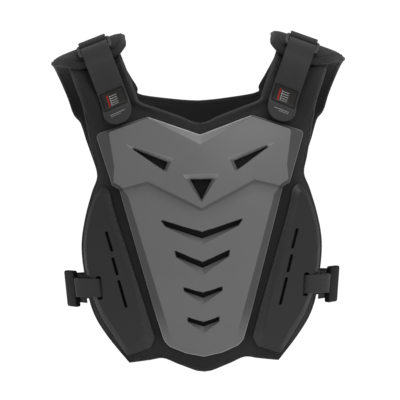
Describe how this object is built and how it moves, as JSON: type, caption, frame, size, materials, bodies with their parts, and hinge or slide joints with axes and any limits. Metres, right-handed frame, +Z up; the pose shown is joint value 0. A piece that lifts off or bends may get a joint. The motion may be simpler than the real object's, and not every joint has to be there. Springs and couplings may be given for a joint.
{
  "type": "roost deflector",
  "caption": "Chest and back guard with a vented hard chest plate, side wings, bound foam pads, shoulder straps with rings and elastic side straps with buckles.",
  "frame": {"origin": "midway between the undersides of the two shoulder arches, where the guard rests on the shoulders", "axes": "+Z up the body, -Y out of the chest, +X to the right as seen from the front (the wearer's left)"},
  "size_m": [0.4094, 0.2499, 0.4627],
  "materials": {
    "grey_plastic": "satin grey moulded plastic",
    "dark_plastic": "satin dark moulded plastic",
    "pad_fabric": "black knitted fabric over foam, bound edges",
    "webbing": "charcoal woven webbing",
    "elastic": "black woven elastic",
    "patch": "woven dark patch",
    "fitting": "black moulded plastic"
  },
  "bodies": {
    "root": {"front_pad": "pad_fabric", "back_pad": "pad_fabric", "front_shell": "grey_plastic", "back_shell": "dark_plastic", "wing_left": "dark_plastic", "wing_right": "dark_plastic", "shoulder_strap_left": "webbing", "shoulder_strap_right": "webbing", "strap_label_left": "patch", "strap_label_right": "patch", "ring_anchor_left": "webbing", "ring_anchor_right": "webbing", "strap_ring_left": "fitting", "strap_ring_right": "fitting", "side_tab_left": "webbing", "side_tab_right": "webbing", "side_buckle_left": "fitting", "side_buckle_right": "fitting", "side_strap_left": "elastic", "side_strap_right": "elastic"}
  },
  "joints": []
}
